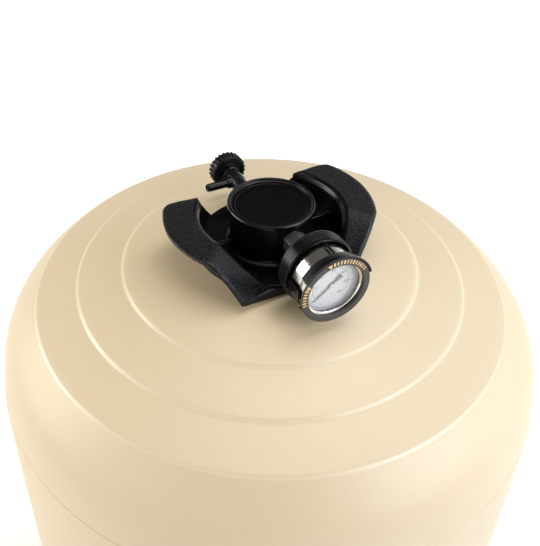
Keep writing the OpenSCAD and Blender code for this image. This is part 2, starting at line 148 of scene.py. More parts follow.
def lathe(prof, seg, a0=0.0, a1=360.0):
    """Turns a closed profile of (r, z) about Z."""
    full = abs(a1 - a0 - 360) < 1e-6
    n = seg if full else seg + 1
    verts, cols = [], []
    for r, z in prof:
        if r < 1e-6 and full:
            verts.append((0, 0, z))
            cols.append([len(verts) - 1] * n)
        else:
            start = len(verts)
            for i in range(n):
                a = math.radians(a0 + (a1 - a0) * i / seg)
                verts.append((r * math.cos(a), r * math.sin(a), z))
            cols.append(list(range(start, start + n)))
    faces = []
    for k in range(len(prof)):
        p, q = cols[k], cols[(k + 1) % len(prof)]
        for i in range(seg):
            j = (i + 1) % n
            face = []
            for w in (p[i], p[j], q[j], q[i]):
                if w not in face:
                    face.append(w)
            if len(face) > 2:
                faces.append(tuple(face))
    if not full:
        faces.append(tuple(c[0] for c in cols))
        faces.append(tuple(c[-1] for c in cols)[::-1])
    return verts, faces


def rounded(poly, rad=0.5, steps=4, radii=None, keep=False):
    """Rounds the corners of a closed loop of points (any dimension). With keep, each corner gives the same number of points."""
    out, n = [], len(poly)
    pts = [Vector(p) for p in poly]
    for i, c in enumerate(pts):
        r = (radii[i] if radii is not None else rad)
        p, q = pts[i - 1] - c, pts[(i + 1) % n] - c
        lp, lq = p.length, q.length
        if r <= 0 or (len(c) == 2 and abs(c[0]) < 1e-6):
            out.append(tuple(c))
            continue
        ok = lp > 1e-9 and lq > 1e-9
        ang = p.angle(q) if ok else math.pi
        if ang > math.radians(172) and not keep:
            out.append(tuple(c))
            continue
        t = min(r / max(math.tan(ang / 2), 0.15), 0.46 * lp, 0.46 * lq) if ok else 0.0
        a = c + (p * (t / lp) if ok else p * 0)
        b = c + (q * (t / lq) if ok else q * 0)
        for k in range(steps + 1):
            s = k / steps
            out.append(tuple(a * (1 - s) ** 2 + c * (2 * s * (1 - s)) + b * s * s))
    return out


def carve(ob, cutters):
    """Cuts closed cutters from ob, and applies the result."""
    for i, (v, f, M) in enumerate(cutters):
        me = bpy.data.meshes.new("cut")
        me.from_pydata([tuple((M @ Vector(p)) * MM) for p in v], [], f)
        bm = bmesh.new(); bm.from_mesh(me)
        bmesh.ops.recalc_face_normals(bm, faces=bm.faces[:])
        bm.to_mesh(me); bm.free()
        c = bpy.data.objects.new("cut", me)
        bpy.context.scene.collection.objects.link(c)
        mod = ob.modifiers.new("cut", "BOOLEAN")
        mod.operation, mod.solver, mod.object = "DIFFERENCE", "EXACT", c
        bpy.context.view_layer.update()
        new = bpy.data.meshes.new_from_object(ob.evaluated_get(bpy.context.evaluated_depsgraph_get()))
        ob.modifiers.remove(mod)
        old = ob.data
        ob.data = new
        bpy.data.meshes.remove(old)
        bpy.data.objects.remove(c)
        bpy.data.meshes.remove(me)


# ---------------------------------------------------------------- materials
def srgb(r, g, b):
    def lin(c):
        c /= 255.0
        return c / 12.92 if c <= 0.04045 else ((c + 0.055) / 1.055) ** 2.4
    return (lin(r), lin(g), lin(b), 1.0)


def material(name, color, rough=0.4, metal=0.0, spec=0.5, coat=0.0, coat_rough=0.1,
             tint=None, tint_scale=14.0, tint_amount=0.5, tint_range=(0.3, 0.7), rough_var=0.0, rough_scale=60.0,
             bumps=(), alpha=None, ior=None, edge=None):
    """A moulded or machined finish: colour variation, roughness variation and layers of fine relief.
    bumps: (kind, scale, distance in mm, strength), kind noise, pebble or turned."""
    m = bpy.data.materials.new(name)
    m.use_nodes = True
    nt = m.node_tree
    nt.nodes.clear()
    out = nt.nodes.new("ShaderNodeOutputMaterial")
    bs = nt.nodes.new("ShaderNodeBsdfPrincipled")
    nt.links.new(bs.outputs["BSDF"], out.inputs["Surface"])
    tc = nt.nodes.new("ShaderNodeTexCoord")
    bs.inputs["Base Color"].default_value = color
    bs.inputs["Metallic"].default_value = metal
    bs.inputs["Roughness"].default_value = rough
    bs.inputs["Specular IOR Level"].default_value = spec
    bs.inputs["Coat Weight"].default_value = coat
    bs.inputs["Coat Roughness"].default_value = coat_rough
    if ior:
        bs.inputs["IOR"].default_value = ior
    if alpha is not None:
        bs.inputs["Alpha"].default_value = alpha

    def noise(scale, detail=3.0, rgh=0.5):
        n = nt.nodes.new("ShaderNodeTexNoise")
        n.inputs["Scale"].default_value = scale
        n.inputs["Detail"].default_value = detail
        n.inputs["Roughness"].default_value = rgh
        nt.links.new(tc.outputs["Object"], n.inputs["Vector"])
        return n

    if tint:
        n = noise(tint_scale, 4.0)
        ramp = nt.nodes.new("ShaderNodeMapRange")
        ramp.inputs["From Min"].default_value = tint_range[0]
        ramp.inputs["From Max"].default_value = tint_range[1]
        ramp.inputs["To Min"].default_value = 0.0
        ramp.inputs["To Max"].default_value = tint_amount
        nt.links.new(n.outputs["Fac"], ramp.inputs["Value"])
        mix = nt.nodes.new("ShaderNodeMix")
        mix.data_type = "RGBA"
        mix.inputs["A"].default_value = color
        mix.inputs["B"].default_value = tint
        nt.links.new(ramp.outputs["Result"], mix.inputs["Factor"])
        last = mix.outputs["Result"]
        if edge:
            geo = nt.nodes.new("ShaderNodeNewGeometry")
            er = nt.nodes.new("ShaderNodeMapRange")
            er.inputs["From Min"].default_value = edge[1]
            er.inputs["From Max"].default_value = edge[2]
            nt.links.new(geo.outputs["Pointiness"], er.inputs["Value"])
            m2 = nt.nodes.new("ShaderNodeMix")
            m2.data_type = "RGBA"
            nt.links.new(er.outputs["Result"], m2.inputs["Factor"])
            nt.links.new(last, m2.inputs["A"])
            m2.inputs["B"].default_value = edge[0]
            last = m2.outputs["Result"]
        nt.links.new(last, bs.inputs["Base Color"])
    if rough_var:
        n = noise(rough_scale, 3.0)
        rr = nt.nodes.new("ShaderNodeMapRange")
        rr.inputs["From Min"].default_value = 0.3
        rr.inputs["From Max"].default_value = 0.7
        rr.inputs["To Min"].default_value = max(rough - rough_var, 0.02)
        rr.inputs["To Max"].default_value = rough + rough_var
        nt.links.new(n.outputs["Fac"], rr.inputs["Value"])
        nt.links.new(rr.outputs["Result"], bs.inputs["Roughness"])
    prev = None
    for kind, scale, dist, strength in bumps:
        if kind == "pebble":
            t = nt.nodes.new("ShaderNodeTexVoronoi")
            t.feature = "SMOOTH_F1"
            t.inputs["Scale"].default_value = scale
            t.inputs["Smoothness"].default_value = 0.6
            t.inputs["Randomness"].default_value = 1.0
            nt.links.new(tc.outputs["Object"], t.inputs["Vector"])
            inv = nt.nodes.new("ShaderNodeMath")
            inv.operation = "SUBTRACT"
            inv.inputs[0].default_value = 1.0
            nt.links.new(t.outputs["Distance"], inv.inputs[1])
            height = inv.outputs["Value"]
        elif kind == "turned":
            sx = nt.nodes.new("ShaderNodeMapping")
            sx.inputs["Scale"].default_value = (1.0, 1.0, 18.0)
            nt.links.new(tc.outputs["Object"], sx.inputs["Vector"])
            t = nt.nodes.new("ShaderNodeTexNoise")
            t.inputs["Scale"].default_value = scale
            t.inputs["Detail"].default_value = 2.0
            nt.links.new(sx.outputs["Vector"], t.inputs["Vector"])
            height = t.outputs["Fac"]
        else:
            height = noise(scale, 2.5).outputs["Fac"]
        b = nt.nodes.new("ShaderNodeBump")
        b.inputs["Distance"].default_value = dist * MM
        b.inputs["Strength"].default_value = strength
        nt.links.new(height, b.inputs["Height"])
        if prev is not None:
            nt.links.new(prev.outputs["Normal"], b.inputs["Normal"])
        prev = b
    if prev is not None:
        nt.links.new(prev.outputs["Normal"], bs.inputs["Normal"])
    return m


M_tank = material("tank_satin", (0.582, 0.464, 0.298, 1), 0.48, spec=0.8, tint=(0.545, 0.428, 0.266, 1), tint_scale=5.0,
                  tint_amount=0.6, bumps=(("noise", 9.0, 1.0, 0.2), ("noise", 420.0, 0.10, 0.20)))
# Ring-step bands: a lighter copy of the tank colour, painted highlight along the step lines; lower roughness and more
# specular also make them catch the lamps.
M_step_painted_highlight = material("tank_step_glossy_painted_highlight", (0.615, 0.50, 0.335, 1), 0.36, spec=1.0, tint=(0.58, 0.465, 0.30, 1), tint_scale=9.0,
                  tint_amount=0.5, bumps=(("noise", 420.0, 0.06, 0.15),))
M_foot = material("foot_moulded", (0.022, 0.022, 0.024, 1), 0.48, tint=(0.034, 0.034, 0.036, 1), tint_scale=9.0,
                  rough_var=0.08, bumps=(("noise", 600.0, 0.15, 0.35),))
M_gloss = material("closure_gloss", (0.0018, 0.0018, 0.002, 1), 0.22, spec=0.30, tint=(0.004, 0.004, 0.0044, 1), tint_scale=22.0,
                   rough_var=0.05, rough_scale=90.0, bumps=(("noise", 120.0, 0.12, 0.12), ("noise", 900.0, 0.03, 0.12)))
M_pebble = material("closure_pebbled", (0.0006, 0.0006, 0.0007, 1), 0.36, spec=0.27, tint=(0.016, 0.016, 0.017, 1), tint_scale=560.0,
                    tint_amount=1.0, tint_range=(0.46, 0.66), rough_var=0.12, rough_scale=520.0,
                    bumps=(("pebble", 560.0, 0.42, 0.85), ("noise", 1000.0, 0.22, 0.7)))
M_disc = material("closure_disc", (0.0012, 0.0012, 0.0012, 1), 0.32, spec=0.10, tint=(0.0026, 0.0025, 0.0025, 1), tint_scale=60.0,
                  rough_var=0.06, rough_scale=120.0, bumps=(("noise", 700.0, 0.07, 0.25),))
M_fitting = material("fitting_moulded", (0.016, 0.016, 0.017, 1), 0.36, tint=(0.028, 0.028, 0.03, 1), tint_scale=20.0,
                     rough_var=0.07, bumps=(("noise", 500.0, 0.08, 0.25),))
# Hex on the gauge branch: a lighter, shinier copy of the closure black, painted highlight on the facets of the same
# moulding.
M_hex_painted_highlight = material("branch_hex_painted_highlight", (0.010, 0.010, 0.011, 1), 0.42, spec=0.75, tint=(0.018, 0.018, 0.019, 1), tint_scale=60.0,
                 rough_var=0.05, bumps=(("noise", 700.0, 0.05, 0.3),))
M_collar = material("collar_satin", (0.0016, 0.0016, 0.0018, 1), 0.24, spec=0.20, tint=(0.0035, 0.0035, 0.004, 1), tint_scale=22.0,
                    rough_var=0.05, rough_scale=90.0, bumps=(("turned", 300.0, 0.03, 0.3),))
M_knob = material("knob_gloss", (0.0025, 0.0025, 0.0028, 1), 0.20, spec=0.26, tint=(0.014, 0.014, 0.015, 1), tint_scale=40.0,
                  rough_var=0.05, bumps=(("noise", 800.0, 0.04, 0.2),))
M_pipe = material("pipe_plastic_white", srgb(226, 225, 218), 0.28, tint=srgb(216, 213, 203), tint_scale=12.0,
                  rough_var=0.05, bumps=(("noise", 200.0, 0.06, 0.15),))
M_rubber = material("rubber_seal", (0.012, 0.012, 0.012, 1), 0.62, spec=0.35, tint=(0.022, 0.022, 0.022, 1), tint_scale=80.0,
                    rough_var=0.08, bumps=(("noise", 900.0, 0.06, 0.4),))
M_steel = material("gauge_stainless", (0.72, 0.69, 0.63, 1), 0.17, metal=1.0, tint=(0.62, 0.58, 0.52, 1), tint_scale=60.0,
                   rough_var=0.04, rough_scale=240.0, bumps=(("turned", 500.0, 0.02, 0.12),))
M_brass = material("gauge_brass", (0.66, 0.46, 0.19, 1), 0.26, metal=1.0, tint=(0.52, 0.34, 0.13, 1), tint_scale=70.0,
                   rough_var=0.06, bumps=(("turned", 420.0, 0.03, 0.2),))
M_stem = material("stem_stainless", (0.56, 0.56, 0.56, 1), 0.24, metal=1.0, tint=(0.45, 0.45, 0.45, 1), tint_scale=60.0,
                  rough_var=0.05, bumps=(("turned", 420.0, 0.02, 0.15),))
M_dial = material("dial_enamel", srgb(203, 202, 198), 0.5, spec=0.15, tint=srgb(195, 195, 191), tint_scale=60.0, tint_amount=0.5,
                  rough_var=0.05, bumps=(("noise", 900.0, 0.02, 0.15),))
M_ink = material("dial_ink", (0.02, 0.02, 0.022, 1), 0.5, tint=(0.04, 0.04, 0.042, 1), tint_scale=500.0, rough_var=0.05)
M_needle = material("needle_black", (0.03, 0.032, 0.035, 1), 0.42, tint=(0.055, 0.057, 0.06, 1), tint_scale=160.0, rough_var=0.06)
M_boss = material("needle_boss", srgb(214, 196, 190), 0.3, metal=0.4, tint=srgb(196, 176, 170), tint_scale=200.0, rough_var=0.05)
M_marker = material("marker_satin", (0.030, 0.028, 0.026, 1), 0.36, tint=(0.045, 0.041, 0.037, 1), tint_scale=50.0,
                    rough_var=0.06, bumps=(("noise", 900.0, 0.04, 0.25),))
M_gold = material("marker_gold", srgb(226, 190, 128), 0.42, metal=0.25, tint=srgb(205, 165, 100), tint_scale=220.0, rough_var=0.08)
M_lens = material("lens_clear", (1, 1, 1, 1), 0.03, spec=0.6, tint=(0.97, 0.985, 1.0, 1), tint_scale=20.0, alpha=0.10)

# ---------------------------------------------------------------- tank
def bez(a, b, c, d, t):
    return (1 - t) ** 3 * a + 3 * t * (1 - t) ** 2 * b + 3 * t * t * (1 - t) * c + t ** 3 * d


def knuckle(t):
    """Shoulder curve from the third step down to the straight wall."""
    return (bez(RING3 + 2, RING3 + 43.2, TANK_R - 0.4, TANK_R, t), bez(-1.5, -40.7, -46.1, -162, t))


def tank_profile():
    o = []
    N = 16
    o += [(lerp(80, RING1 - 2, t), lerp(SEAT, 35.1, 0.82 * t + 0.18 * t * t)) for t in [i / N for i in range(N + 1)]]
    o += [(RING1 - 1.2, 34.6), (RING1 + 1.2, 32.6)]
    o += [(lerp(RING1 + 2, RING2 - 2, t), lerp(32.1, 19.1, 0.92 * t + 0.08 * t * t)) for t in [i / N for i in range(N + 1)]]
    o += [(RING2 - 1.2, 18.6), (RING2 + 1.2, 16.6)]
    o += [(lerp(RING2 + 2, RING3 - 2, t), lerp(16.1, 1.5, 0.92 * t + 0.08 * t * t)) for t in [i / N for i in range(N + 1)]]
    o += [(RING3 - 1.2, 1.0), (RING3 + 1.2, -1.0)]
    o += [knuckle(0.7 * i / 44) for i in range(45)]
    o += [(TANK_R - 1.95, -88.3), (TANK_R - 1.1, -89.2), (TANK_R - 1.05, -91.4), (TANK_R - 1.65, -92.4)]
    o += [knuckle(lerp(0.735, 1.0, i / 12)) for i in range(13)]
    return [(r, ZR + z) for r, z in o]


def build_tank():
    top = tank_profile()
    outer = [(74, ZR + SEAT)] + top
    steps = 40
    outer += [(TANK_R, lerp(ZR - 165, 190, i / steps)) for i in range(steps + 1)]
    bowl = [(TANK_R * math.cos(a), 190 - 115 * math.sin(a)) for a in [math.radians(i * 90 / 40) for i in range(1, 41)]]
    outer += [p for p in bowl if p[0] > 269.5]
    outer += [(268, 134), (268, 118), (244, 118)]
    outer += [p for p in bowl if 1 < p[0] < 242.5] + [(0, 75)]
    ro, rb = TANK_R - WALL, 115 - WALL
    inner = [(0, 75 + WALL)]
    inner += [(ro * math.cos(a), 190 - rb * math.sin(a)) for a in [math.radians(90 - i * 90 / 20) for i in range(1, 21)]]
    inner += [(ro, lerp(190, ZR - 166, i / 30)) for i in range(1, 31)]
    dome = []
    for i in range(24, -1, -1):
        t = i / 24
        p, q, w = knuckle(t), knuckle(min(t + 0.01, 1)), knuckle(max(t - 0.01, 0))
        dr, dz = q[0] - w[0], q[1] - w[1]
        n = math.hypot(dr, dz)
        dome.append((min(p[0] + dz / n * WALL, ro), p[1] - dr / n * WALL))
    dome += [(lerp(RING3, RING2, t), lerp(-8, 10.5, t)) for t in (1 / 3, 2 / 3, 1)]
    dome += [(lerp(RING2, RING1, t), lerp(10.5, 27, t)) for t in (0.5, 1)]
    dome += [(lerp(RING1, 82, t), lerp(27, SEAT - WALL - 1.5, t)) for t in (0.25, 0.5, 0.75, 1)]
    inner += [(r, ZR + z) for r, z in dome] + [(82, ZR + 26), (74, ZR + 26)]
    prof = outer + inner
    radii = []
    for r, z in prof:
        near = any(abs(r - q) < 1.9 for q in (RING1, RING2, RING3)) and z > ZR - 4
        bead = abs(z - (ZR - 90.3)) < 2.3 and r > TANK_R - 2.5
        radii.append(1.4 if near else 0.5 if bead else 1.2 if (r in (80, 74) and z > ZR + 50) else 1.5 if z in (118, 134) else 0)
    prof = rounded(prof, radii=radii, steps=5)
    part = Part()
    part.lathe(prof, seg=288)
    # faces on the ring steps take the step material, whose lighter colour is a painted highlight
    for i, f in enumerate(part.f):
        c = sum((part.v[k] for k in f), Vector()) / len(f)
        if c.z > ZR - 6 and any(abs(math.hypot(c.x, c.y) - q) < 1.5 for q in (RING1, RING2, RING3)):
            part.m[i] = 1
    ob = part.object("tank_body", "tank", [M_tank, M_step_painted_highlight], "tank_plastic", ["tank_shell"], sharp=38)
    cutters = []
    for z in PORTS:
        v, f = lathe([(0, 240), (38.4, 240), (38.4, 330), (0, 330)], 96)
        cutters.append((v, f, T(0, 0, z) @ R(-90, "X")))
    v, f = lathe([(0, 240), (18.9, 240), (18.9, 330), (0, 330)], 72)
    cutters.append((v, f, T(0, 0, DRAIN_Z) @ R(90, "X")))
    carve(ob, cutters)
    ob.data.polygons.foreach_set("use_smooth", [True] * len(ob.data.polygons))
    ob.data.set_sharp_from_angle(angle=math.radians(38))
    pads = Part()
    for z in PORTS:
        pads.lathe(rounded([(38.5, 286), (54, 286), (56, 308), (53.5, 311.5), (38.5, 311.5)], radii=[0, 0, 0.6, 1.2, 0.6]),
                   T(0, 0, z) @ R(-90, "X"), 128)
    pads.lathe(rounded([(19, 286), (34, 286), (35.5, 304), (33.5, 307.9), (19, 307.9)], radii=[0, 0, 0.6, 1.2, 0.6]),
               T(0, 0, DRAIN_Z) @ R(90, "X"), 96)
    pads.object("tank_port_pads", "tank", [M_tank], "tank_plastic")
    return ob


build_tank()

# ---------------------------------------------------------------- closure
FRONT_G, REAR_G, WING_TOP, WING_LOW, WING_R = 80.6, -54.5, 100.0, 60.8, 114.5


def wing_z(r, g):
    """Height of the wing's top at nominal plan radius r, at distance g towards the gauge."""
    k = clamp((r - 76) / 37, 0, 1)
    g0, g1 = 24 + 28 * k, 73 + 7.6 * k
    t = clamp((g - g0) / (g1 - g0), 0, 1)
    return WING_TOP - (WING_TOP - WING_LOW) * t ** (1.6 + 0.4 * k)


def wing_edge(a, q):
    d = math.degrees(a)
    return WING_R - 2.9 * clamp((92 - d) / 28, 0, 1) - q * clamp((64 - d) / 22, 0, 1)


def wing_s(r, e):
    return 81.5 + (r - 81.5) * (e - 84.9) / (WING_R - 84.9)


def a_front(r, q):
    return math.acos(clamp(FRONT_G / wing_s(r, WING_R - 2.9 - q), -1, 1))


def a_rear(r):
    c = max(0.0, r - WING_R + 9)
    return math.acos(clamp((REAR_G + 9 - math.sqrt(max(0.0, 81 - c * c))) / r, -1, 1))


def wing(part, side, q, lo, hi):
    """One wing. q is how much its edge draws in at the front; lo and hi are the wall's rear angles at its foot and top."""
    NJ = 120
    top_r = [81.5, 82.6, 84.2, 86.5, 89, 92, 95, 98, 101, 104, 107, WING_R - 5.4, WING_R - 3.4]
    af = math.acos(FRONT_G / 82)
    rim_a = math.acos(FRONT_G / (WING_R - 3.5 - q))
    loops, kinds = [], None
    for j in range(NJ + 1):
        u = j / NJ
        pts, rad, kind = [], [], []

        def put(r, a, z, rr, k):
            pts.append((r * math.cos(a), side * r * math.sin(a), z))
            rad.append(rr)
            kind.append(k)

        def wall(i, z_foot, drop, low, rise, rr):
            f = (0, 0.55, 1, 1)[i]
            a = lerp(af, math.radians(lerp(lo, hi, f)), u)
            zt = wing_z(81.5, 81.5 * math.cos(a))
            z2 = max(low, zt - drop)
            return rr[i], a, (z_foot, lerp(z_foot, z2, 0.55), z2, max(rise[0], zt - rise[1]))[i]

        # the rear end's top edge is rounded over, most at the inner corner
        end = clamp(1 - (1 - u) * (a_rear(96) - a_front(96, q)) * 96 / 5.5, 0, 1)
        drop_in = 4.2 * (1 - math.sqrt(max(0.0, 1 - end * end)))

        def band(r):
            a = lerp(a_front(r, q), a_rear(r), u)
            w = wing_s(r, wing_edge(a, q))
            return w, a, wing_z(r, w * math.cos(a)) - drop_in * clamp((100 - r) / 18, 0.22, 1)

        for i in range(4):
            r, a, z = wall(i, 56, 6.5, 57.6, (58.1, 2), (75, 75, 75.4, 77.6))
            put(r, a, z, (0, 0, 1.6, 1.8)[i], 0)
        for r in top_r:
            w, a, z = band(r)
            put(w, a, z, 0, 1)
        a = lerp(rim_a, a_rear(WING_R - 0.5), u)
        w = wing_edge(a, q) - 0.6
        z = wing_z(113, w * math.cos(a))
        put(w, a, z - 1.6, 1.3, 1)
        put(w, a, z - 4.4, 1.2, 1)
        for r in top_r[::-1]:
            w, a, z = band(r)
            put(w, a, max(55.6, z - 6), 0, 2)
        for i in (3, 2, 1, 0):
            r, a, z = wall(i, 54.9, 10, 55.1, (55.3, 7.2), (80.6, 80.6, 80.7, 80.9))
            put(r, a, z, 0, 2)
        loop = rounded(pts, radii=rad, steps=4, keep=True)
        kk = []
        for rr, k in zip(rad, kind):
            kk += [k] * (5 if rr > 0 else 1)
        loops.append(loop)
        kinds = kk
    m = len(loops[0])
    bm = bmesh.new()
    grid = [[bm.verts.new(p) for p in loop] for loop in loops]
    ends = []
    for j in range(NJ):
        for k in range(m):
            k2 = (k + 1) % m
            f = bm.faces.new((grid[j][k], grid[j][k2], grid[j + 1][k2], grid[j + 1][k]))
            f.material_index = 1 if (kinds[k] == 1 and kinds[k2] in (1, 2)) else 0
    for row in (grid[0], grid[-1]):
        f = bm.faces.new(row)
        f.material_index = 0
        ends.append(f)
    bmesh.ops.recalc_face_normals(bm, faces=bm.faces[:])
    bmesh.ops.triangulate(bm, faces=[f for f in bm.faces if len(f.verts) > 6])
    bm.verts.index_update()
    v = [p.co.copy() for p in bm.verts]
    f = [tuple(p.index for p in face.verts) for face in bm.faces]
    mats = [face.material_index for face in bm.faces]
    bm.free()
    part.add(v, f, LID, mats=mats)


def ridge(part, ra, wa, rb, wb, z0, turns, seg=72):
    n = round(turns * seg)
    v, f = [], []
    for i in range(n + 1):
        a = 2 * math.pi * i / seg
        z = z0 + LEAD * i / seg
        fade = clamp(min(i, n - i) / (seg * 0.08), 0.12, 1)
        rr = lerp(ra, rb, fade)
        for r, dz in ((ra, -wa), (rr, -wb), (rr, wb), (ra, wa)):
            v.append((r * math.cos(a), r * math.sin(a), z + dz))
    for i in range(n):
        for k in range(4):
            f.append((4 * i + k, 4 * i + (k + 1) % 4, 4 * i + 4 + (k + 1) % 4, 4 * i + 4 + k))
    f += [(0, 3, 2, 1), (4 * n, 4 * n + 1, 4 * n + 2, 4 * n + 3)]
    part.add(v, f, LID)


hub = Part()
hub_prof = [(56.8, 16), (62.8, 16), (62.8, 54.3), (67.2, 54.3), (67.2, 58.7), (72.8, 58.7), (72.8, 54.3), (77, 54.3),
            (77.8, 55.2), (77.8, 60), (76.6, 61.2), (48, 61.2), (45, 62.4), (43.5, 65), (43.5, 103.0), (45.4, 104.4),
            (46.3, 105.6), (46.3, 108.6), (45.3, 109.8), (43.6, 110), (42.6, 109.2), (42.2, 107.6), (40.8, 107.2),
            (40.8, 103.5), (35, 103.5), (35, 98.6), (38, 96), (38, 54.3), (56.8, 54.3)]
hub_rad = [0.6, 1.0, 0, 0, 0.2, 0.2, 0.2, 0.4, 0.4, 0.8, 0.8, 1.5, 1.5, 1.2, 0.8, 0.6, 0.8, 0.9, 0.9, 0.7, 0.6, 0.5, 0.4, 0.1, 0.2,
           0.3, 0.3, 0.3, 0.3]
hub.lathe(rounded(hub_prof, radii=hub_rad, steps=5), LID, 224)
hub.lathe(rounded([(0, 38), (10.6, 38), (10.6, 76.5), (12, 77.2), (14, 78.6), (14, 84), (0, 84)], rad=0.6), GX, 80)
hexa = [(12.8 * math.cos(math.radians(60 * i)), 12.8 * math.sin(math.radians(60 * i))) for i in range(6)]
# the hex takes material 2, the lighter copy with painted highlight on its facets
hub.prism(hexa, 49.5, 64.0, GX, r=0.55, mat=2)
hub.lathe(rounded([(0, 38), (13, 38), (13, 53.4), (11.8, 55), (0, 55)], rad=0.5), VX, 72)
hub.block(41, 77, -4, 4, 60, 85.5, LID, r=0.7)
hub.block(-53, -39, -4, 4, 60, 78, LID, r=0.7)
for s in (-1, 1):
    hub.block(42, 76, -2.5, 2.5, 60, 74, LID @ R(s * 90, "Z"), r=0.7)
    hub.block(66, 77, -2, 2, 60, 68, LID @ R(s * 38, "Z"), r=0.6)
ridge(hub, 62.5, 1.7, 66, 0.9, 26, 2.25)
wing(hub, 1, 10, 160, 134)
wing(hub, -1, 3.2, 150.5, 127.5)
hub.object("closure_shell", "closure", [M_gloss, M_pebble, M_hex_painted_highlight], "closure_plastic", ["closure"], sharp=40, fix=False)

disc = Part()
disc.lathe(rounded([(0, 103.5), (40.7, 103.5), (40.7, 105.9), (40.0, 106.7), (38.6, 106.7), (37.6, 106.0), (36.8, 105.95), (0, 105.9)],
                   radii=[0, 0.1, 0.3, 0.4, 0.4, 0.3, 0.2, 0]), LID, 192)
disc.object("hub_disc", "closure", [M_disc], "closure_plastic", ["hub_cap"])

# ---------------------------------------------------------------- pressure gauge
collar = Part()
cp = [(9.2, 84.02), (33, 84.02), (35.0, 84.6), (36.4, 86.0), (36.7, 87.2), (37, 87.8), (37, 89.6), (36.7, 90.2), (36.7, 91.0), (37, 91.6),
      (37, 93.4), (36.7, 94.0), (36.7, 94.8), (37, 95.4), (37, 97.2), (36.7, 97.8), (36.7, 98.6), (37, 99.2), (37, 101.0), (36.2, 102),
      (34.6, 102), (34.6, 88.6), (9.2, 88.6)]
collar.lathe(rounded(cp, rad=0.35), GX, 176)
collar.object("gauge_collar_ring", "closure", [M_collar], "closure_plastic", ["gauge_collar"])

case = Part()
case.lathe(rounded([(9.2, 90), (30.4, 90), (31.75, 91.4), (31.75, 126.8), (30.95, 126.8), (30.95, 91.7), (30.1, 90.8), (9.2, 90.8)],
                   radii=[0.1, 0.8, 0.8, 0.1, 0.1, 0.2, 0.2, 0.1]), GX, 176)
case.object("gauge_can", "closure", [M_steel], "gauge_steel", ["gauge_case"])

bezel = Part()
bezel.lathe(rounded([(31.85, 120.6), (33.1, 120.6), (33.1, 128.9), (32.5, 130.1), (31.4, 130.5), (30.6, 130.35), (28.2, 129.35), (27.9, 129.1),
                     (31.85, 129.1)], radii=[0.1, 0.3, 0.8, 0.6, 0.6, 0.4, 0.2, 0.05, 0.1]), GX, 176)
bezel.object("gauge_bezel_ring", "closure", [M_steel], "gauge_steel", ["gauge_bezel"])

lens = Part()
lens.lathe(rounded([(0, 127), (30.8, 127), (30.8, 129), (0, 129)], rad=0.2), GX, 128)
lens.object("gauge_window", "closure", [M_lens], "lens_clear", ["gauge_lens"])

face = Part()
face.lathe(rounded([(1.4, 122.4), (30.5, 122.4), (30.5, 123.2), (1.4, 123.2)], rad=0.15), GX, 128)
face.object("dial_plate", "closure", [M_dial], "dial_white", ["gauge_dial"])

ink = Part()
ZERO, SWEEP = 220.0, 270.0
for i in range(61):
    th = ZERO - SWEEP * i / 60
    long, mid = i % 10 == 0, i % 5 == 0
    r0 = 21.9 if long else 23.0 if mid else 24.0
    w = 0.30 if long else 0.20 if mid else 0.11
    ink.block(r0, 25.4, -w, w, 123.2, 123.26, GX @ dial(th), r=0)
ink.lathe([(19.35, 123.2), (19.35, 123.25), (19.75, 123.25), (19.75, 123.2)], GX @ dial(0), 120, ZERO - SWEEP, ZERO)
ink.lathe([(27.3, 123.2), (27.3, 123.25), (27.9, 123.25), (27.9, 123.2)], GX, 160)
ink.lathe([(25.3, 123.2), (25.3, 123.25), (25.65, 123.25), (25.65, 123.2)], GX @ dial(0), 120, ZERO - SWEEP, ZERO)


def numeral(part, text, M, size):
    cu = bpy.data.curves.new("num", "FONT")
    cu.body, cu.size, cu.align_x, cu.align_y = text, size, "CENTER", "CENTER"
    cu.extrude = 0.03
    cu.resolution_u = 3
    ob = bpy.data.objects.new("num", cu)
    bpy.context.scene.collection.objects.link(ob)
    bpy.context.view_layer.update()
    me = bpy.data.meshes.new_from_object(ob.evaluated_get(bpy.context.evaluated_depsgraph_get()))
    part.add([v.co.copy() for v in me.vertices], [tuple(p.vertices) for p in me.polygons], M)
    bpy.data.objects.remove(ob)
    bpy.data.meshes.remove(me)
    bpy.data.curves.remove(cu)


for k in range(7):
    th = math.radians(ZERO - SWEEP * k / 6)
    r = 16.6
    # in the gauge's frame the viewer's right is +Y and up is -X
    M = GX @ T(-r * math.sin(th), r * math.cos(th), 123.24) @ R(90, "Z")
    numeral(ink, str(10 * k), M, 4.9)
ink.object("dial_marks", "closure", [M_ink], "needle_black", sharp=0, fix=False)

needle = Part()
N0 = GX @ dial(ZERO)
needle.prism([(-5, -0.85), (8, -0.95), (17, -0.62), (24.0, -0.12), (24.0, 0.12), (17, 0.62), (8, 0.95), (-5, 0.85)], 124.25, 124.75, N0, r=0.12, steps=2)
needle.prism([(-4.5, -0.8), (-6.2, -1.35), (-13.0, -2.9), (-13.6, -2.5), (-13.8, 0), (-13.6, 2.5), (-13.0, 2.9), (-6.2, 1.35), (-4.5, 0.8)], 124.22, 124.78, N0, r=0.14, steps=2)
needle.lathe(rounded([(0, 104.6), (0.85, 104.6), (0.85, 108.2), (1.9, 108.2), (1.9, 109.8), (0.85, 109.8), (0.85, 124.2), (0, 124.2)], rad=0.1), GX, 40)
needle.lathe(rounded([(0, 123.9), (2.6, 123.9), (2.6, 124.9), (0, 124.9)], rad=0.3), GX, 48)
needle.lathe(rounded([(0, 124.8), (1.9, 124.8), (1.9, 125.4), (1.2, 125.75), (0, 125.8)], rad=0.25), GX, 48, mat=1)
needle.object("gauge_pointer", "needle", [M_needle, M_boss], "needle_black", ["gauge_needle"])

